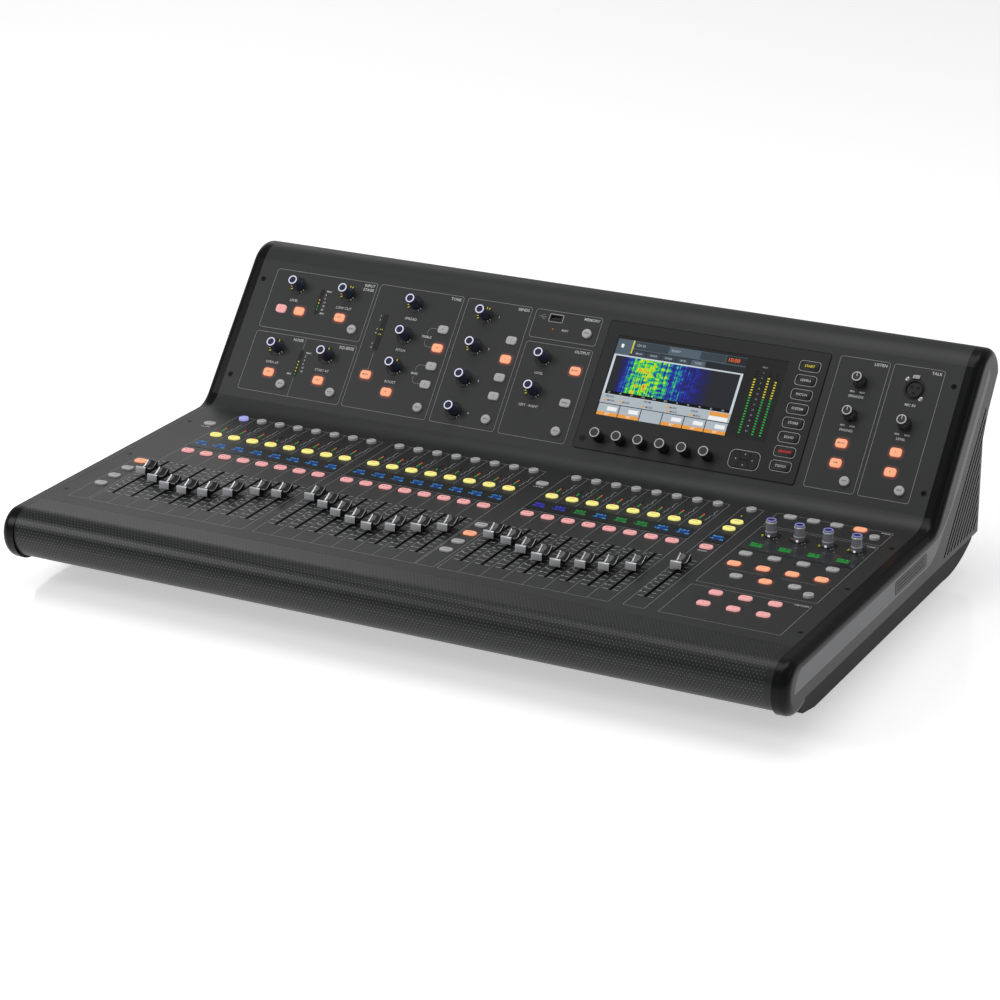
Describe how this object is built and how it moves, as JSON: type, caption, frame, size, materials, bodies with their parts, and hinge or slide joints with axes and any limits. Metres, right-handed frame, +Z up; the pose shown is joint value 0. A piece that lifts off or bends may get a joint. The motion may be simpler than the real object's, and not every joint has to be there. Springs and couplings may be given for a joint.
{
  "type": "mixing console",
  "caption": "Digital audio mixing console with a flat fader deck, a raised sloping control bridge with a screen, rounded black end cheeks and a moulded armrest.",
  "frame": {"origin": "centre of the bounding box at the table surface, under the feet", "axes": "+X to the user's right along the width, +Y from the armrest to the rear panel, +Z up"},
  "size_m": [0.891, 0.5766, 0.2414],
  "materials": {
    "tray_paint": "satin black powder coat",
    "cheek_plastic": "satin black moulding",
    "trim_metal": "satin silver-grey",
    "armrest_plastic": "black with a fine dotted texture",
    "panel_paint": "satin charcoal paint with light printed frames",
    "rear_paint": "satin black paint",
    "foot_rubber": "matt black",
    "screw_steel": "dark steel",
    "bezel_plastic": "satin black",
    "screen_glass": "glossy dark screen",
    "socket_metal": "black sockets with metal contacts",
    "board": "green circuit board and plain steel box",
    "module_steel": "plain steel",
    "encoder_plastic": "smoked translucent plastic with a white ring",
    "pot_plastic": "black knob with a clear ribbed skirt",
    "key_plastic": "lit translucent keys",
    "switch_plastic": "black rocker",
    "fader_cap": "gloss black cap with a silver front"
  },
  "bodies": {
    "console": {"base_tray": "tray_paint", "end_cheeks": "cheek_plastic", "side_trims": "trim_metal", "armrest": "armrest_plastic", "deck_panel": "panel_paint", "bridge_panel": "panel_paint", "rear_panel": "rear_paint", "feet": "foot_rubber", "panel_screws": "screw_steel", "screen_bezel": "bezel_plastic", "display_panel": "screen_glass", "sockets": "socket_metal", "electronics": "board", "fader_modules": "module_steel"},
    "fader_01": {"fader_01": "fader_cap"},
    "fader_02": {"fader_02": "fader_cap"},
    "fader_03": {"fader_03": "fader_cap"},
    "fader_04": {"fader_04": "fader_cap"},
    "fader_05": {"fader_05": "fader_cap"},
    "fader_06": {"fader_06": "fader_cap"},
    "fader_07": {"fader_07": "fader_cap"},
    "fader_08": {"fader_08": "fader_cap"},
    "fader_09": {"fader_09": "fader_cap"},
    "fader_10": {"fader_10": "fader_cap"},
    "fader_11": {"fader_11": "fader_cap"},
    "fader_12": {"fader_12": "fader_cap"},
    "fader_13": {"fader_13": "fader_cap"},
    "fader_14": {"fader_14": "fader_cap"},
    "fader_15": {"fader_15": "fader_cap"},
    "fader_16": {"fader_16": "fader_cap"},
    "fader_17": {"fader_17": "fader_cap"},
    "fader_18": {"fader_18": "fader_cap"},
    "fader_19": {"fader_19": "fader_cap"},
    "fader_20": {"fader_20": "fader_cap"},
    "fader_21": {"fader_21": "fader_cap"},
    "fader_22": {"fader_22": "fader_cap"},
    "fader_23": {"fader_23": "fader_cap"},
    "fader_24": {"fader_24": "fader_cap"},
    "fader_main": {"fader_main": "fader_cap"},
    "encoder_gain": {"encoder_gain": "encoder_plastic"},
    "encoder_low_cut": {"encoder_low_cut": "encoder_plastic"},
    "encoder_gate": {"encoder_gate": "encoder_plastic"},
    "encoder_compressor": {"encoder_compressor": "encoder_plastic"},
    "encoder_eq_width": {"encoder_eq_width": "encoder_plastic"},
    "encoder_eq_frequency": {"encoder_eq_frequency": "encoder_plastic"},
    "encoder_eq_gain": {"encoder_eq_gain": "encoder_plastic"},
    "encoder_send_1": {"encoder_send_1": "encoder_plastic"},
    "encoder_send_2": {"encoder_send_2": "encoder_plastic"},
    "encoder_send_3": {"encoder_send_3": "encoder_plastic"},
    "encoder_send_4": {"encoder_send_4": "encoder_plastic"},
    "encoder_main_level": {"encoder_main_level": "encoder_plastic"},
    "encoder_pan": {"encoder_pan": "encoder_plastic"},
    "pot_monitor_level": {"pot_monitor_level": "pot_plastic"},
    "pot_phones_level": {"pot_phones_level": "pot_plastic"},
    "pot_talkback_gain": {"pot_talkback_gain": "pot_plastic"},
    "deck_keys": {"deck_keys": "key_plastic"},
    "bridge_keys": {"bridge_keys": "key_plastic"},
    "screen_encoders": {"screen_encoders": "encoder_plastic"},
    "assign_encoders": {"assign_encoders": "encoder_plastic"},
    "power_switch": {"power_switch": "switch_plastic"}
  },
  "joints": [
    {"name": "fader_01_slide", "type": "slide", "parent": "console", "child": "fader_01", "axis": [0, 1, 0], "range_m": [-0.062, 0.038]},
    {"name": "fader_02_slide", "type": "slide", "parent": "console", "child": "fader_02", "axis": [0, 1, 0], "range_m": [-0.048, 0.052]},
    {"name": "fader_03_slide", "type": "slide", "parent": "console", "child": "fader_03", "axis": [0, 1, 0], "range_m": [-0.035, 0.065]},
    {"name": "fader_04_slide", "type": "slide", "parent": "console", "child": "fader_04", "axis": [0, 1, 0], "range_m": [-0.032, 0.068]},
    {"name": "fader_05_slide", "type": "slide", "parent": "console", "child": "fader_05", "axis": [0, 1, 0], "range_m": [-0.036, 0.064]},
    {"name": "fader_06_slide", "type": "slide", "parent": "console", "child": "fader_06", "axis": [0, 1, 0], "range_m": [-0.048, 0.052]},
    {"name": "fader_07_slide", "type": "slide", "parent": "console", "child": "fader_07", "axis": [0, 1, 0], "range_m": [-0.064, 0.036]},
    {"name": "fader_08_slide", "type": "slide", "parent": "console", "child": "fader_08", "axis": [0, 1, 0], "range_m": [-0.069, 0.031]},
    {"name": "fader_09_slide", "type": "slide", "parent": "console", "child": "fader_09", "axis": [0, 1, 0], "range_m": [-0.077, 0.023]},
    {"name": "fader_10_slide", "type": "slide", "parent": "console", "child": "fader_10", "axis": [0, 1, 0], "range_m": [-0.064, 0.036]},
    {"name": "fader_11_slide", "type": "slide", "parent": "console", "child": "fader_11", "axis": [0, 1, 0], "range_m": [-0.05, 0.05]},
    {"name": "fader_12_slide", "type": "slide", "parent": "console", "child": "fader_12", "axis": [0, 1, 0], "range_m": [-0.039, 0.061]},
    {"name": "fader_13_slide", "type": "slide", "parent": "console", "child": "fader_13", "axis": [0, 1, 0], "range_m": [-0.031, 0.069]},
    {"name": "fader_14_slide", "type": "slide", "parent": "console", "child": "fader_14", "axis": [0, 1, 0], "range_m": [-0.039, 0.061]},
    {"name": "fader_15_slide", "type": "slide", "parent": "console", "child": "fader_15", "axis": [0, 1, 0], "range_m": [-0.051, 0.049]},
    {"name": "fader_16_slide", "type": "slide", "parent": "console", "child": "fader_16", "axis": [0, 1, 0], "range_m": [-0.064, 0.036]},
    {"name": "fader_17_slide", "type": "slide", "parent": "console", "child": "fader_17", "axis": [0, 1, 0], "range_m": [-0.068, 0.032]},
    {"name": "fader_18_slide", "type": "slide", "parent": "console", "child": "fader_18", "axis": [0, 1, 0], "range_m": [-0.061, 0.039]},
    {"name": "fader_19_slide", "type": "slide", "parent": "console", "child": "fader_19", "axis": [0, 1, 0], "range_m": [-0.047, 0.053]},
    {"name": "fader_20_slide", "type": "slide", "parent": "console", "child": "fader_20", "axis": [0, 1, 0], "range_m": [-0.036, 0.064]},
    {"name": "fader_21_slide", "type": "slide", "parent": "console", "child": "fader_21", "axis": [0, 1, 0], "range_m": [-0.03, 0.07]},
    {"name": "fader_22_slide", "type": "slide", "parent": "console", "child": "fader_22", "axis": [0, 1, 0], "range_m": [-0.038, 0.062]},
    {"name": "fader_23_slide", "type": "slide", "parent": "console", "child": "fader_23", "axis": [0, 1, 0], "range_m": [-0.043, 0.057]},
    {"name": "fader_24_slide", "type": "slide", "parent": "console", "child": "fader_24", "axis": [0, 1, 0], "range_m": [-0.056, 0.044]},
    {"name": "fader_main_slide", "type": "slide", "parent": "console", "child": "fader_main", "axis": [0, 1, 0], "range_m": [-0.08, 0.02]},
    {"name": "encoder_gain_turn", "type": "hinge", "parent": "console", "child": "encoder_gain", "pos_m": [-0.3729, 0.20852, 0.20809], "axis": [0, -0.7676, 0.6409], "continuous": true},
    {"name": "encoder_low_cut_turn", "type": "hinge", "parent": "console", "child": "encoder_low_cut", "pos_m": [-0.307, 0.20852, 0.20809], "axis": [0, -0.7676, 0.6409], "continuous": true},
    {"name": "encoder_gate_turn", "type": "hinge", "parent": "console", "child": "encoder_gate", "pos_m": [-0.3735, 0.1584, 0.14806], "axis": [0, -0.7676, 0.6409], "continuous": true},
    {"name": "encoder_compressor_turn", "type": "hinge", "parent": "console", "child": "encoder_compressor", "pos_m": [-0.3079, 0.1584, 0.14806], "axis": [0, -0.7676, 0.6409], "continuous": true},
    {"name": "encoder_eq_width_turn", "type": "hinge", "parent": "console", "child": "encoder_eq_width", "pos_m": [-0.2192, 0.20852, 0.20809], "axis": [0, -0.7676, 0.6409], "continuous": true},
    {"name": "encoder_eq_frequency_turn", "type": "hinge", "parent": "console", "child": "encoder_eq_frequency", "pos_m": [-0.2192, 0.18346, 0.17808], "axis": [0, -0.7676, 0.6409], "continuous": true},
    {"name": "encoder_eq_gain_turn", "type": "hinge", "parent": "console", "child": "encoder_eq_gain", "pos_m": [-0.2192, 0.1584, 0.14806], "axis": [0, -0.7676, 0.6409], "continuous": true},
    {"name": "encoder_send_1_turn", "type": "hinge", "parent": "console", "child": "encoder_send_1", "pos_m": [-0.1306, 0.20852, 0.20809], "axis": [0, -0.7676, 0.6409], "continuous": true},
    {"name": "encoder_send_2_turn", "type": "hinge", "parent": "console", "child": "encoder_send_2", "pos_m": [-0.1306, 0.18346, 0.17808], "axis": [0, -0.7676, 0.6409], "continuous": true},
    {"name": "encoder_send_3_turn", "type": "hinge", "parent": "console", "child": "encoder_send_3", "pos_m": [-0.1306, 0.1584, 0.14806], "axis": [0, -0.7676, 0.6409], "continuous": true},
    {"name": "encoder_send_4_turn", "type": "hinge", "parent": "console", "child": "encoder_send_4", "pos_m": [-0.1306, 0.13334, 0.11805], "axis": [0, -0.7676, 0.6409], "continuous": true},
    {"name": "encoder_main_level_turn", "type": "hinge", "parent": "console", "child": "encoder_main_level", "pos_m": [-0.0448, 0.18346, 0.17808], "axis": [0, -0.7676, 0.6409], "continuous": true},
    {"name": "encoder_pan_turn", "type": "hinge", "parent": "console", "child": "encoder_pan", "pos_m": [-0.0448, 0.1584, 0.14806], "axis": [0, -0.7676, 0.6409], "continuous": true},
    {"name": "pot_monitor_level_turn", "type": "hinge", "parent": "console", "child": "pot_monitor_level", "pos_m": [0.3198, 0.20314, 0.20164], "axis": [0, -0.7676, 0.6409], "range_deg": [-150, 150]},
    {"name": "pot_phones_level_turn", "type": "hinge", "parent": "console", "child": "pot_phones_level", "pos_m": [0.3198, 0.17821, 0.17178], "axis": [0, -0.7676, 0.6409], "range_deg": [-150, 150]},
    {"name": "pot_talkback_gain_turn", "type": "hinge", "parent": "console", "child": "pot_talkback_gain", "pos_m": [0.3808, 0.17795, 0.17147], "axis": [0, -0.7676, 0.6409], "range_deg": [-150, 150]},
    {"name": "deck_keys_press", "type": "slide", "parent": "console", "child": "deck_keys", "axis": [0, 0, -1], "range_m": [0, 0.0012], "stiffness_N_per_m": 3000, "springref_m": -0.001},
    {"name": "bridge_keys_press", "type": "slide", "parent": "console", "child": "bridge_keys", "axis": [0, 0.7676, -0.6409], "range_m": [0, 0.0012], "stiffness_N_per_m": 2000, "springref_m": -0.001},
    {"name": "screen_encoders_press", "type": "slide", "parent": "console", "child": "screen_encoders", "axis": [0, 0.7676, -0.6409], "range_m": [0, 0.0005], "stiffness_N_per_m": 1000, "springref_m": -0.001},
    {"name": "assign_encoders_press", "type": "slide", "parent": "console", "child": "assign_encoders", "axis": [0, 0, -1], "range_m": [0, 0.0005], "stiffness_N_per_m": 1000, "springref_m": -0.001},
    {"name": "power_switch_rock", "type": "hinge", "parent": "console", "child": "power_switch", "pos_m": [0.345, 0.242, 0.0927], "axis": [-1, 0, 0], "range_deg": [0, 12]}
  ]
}
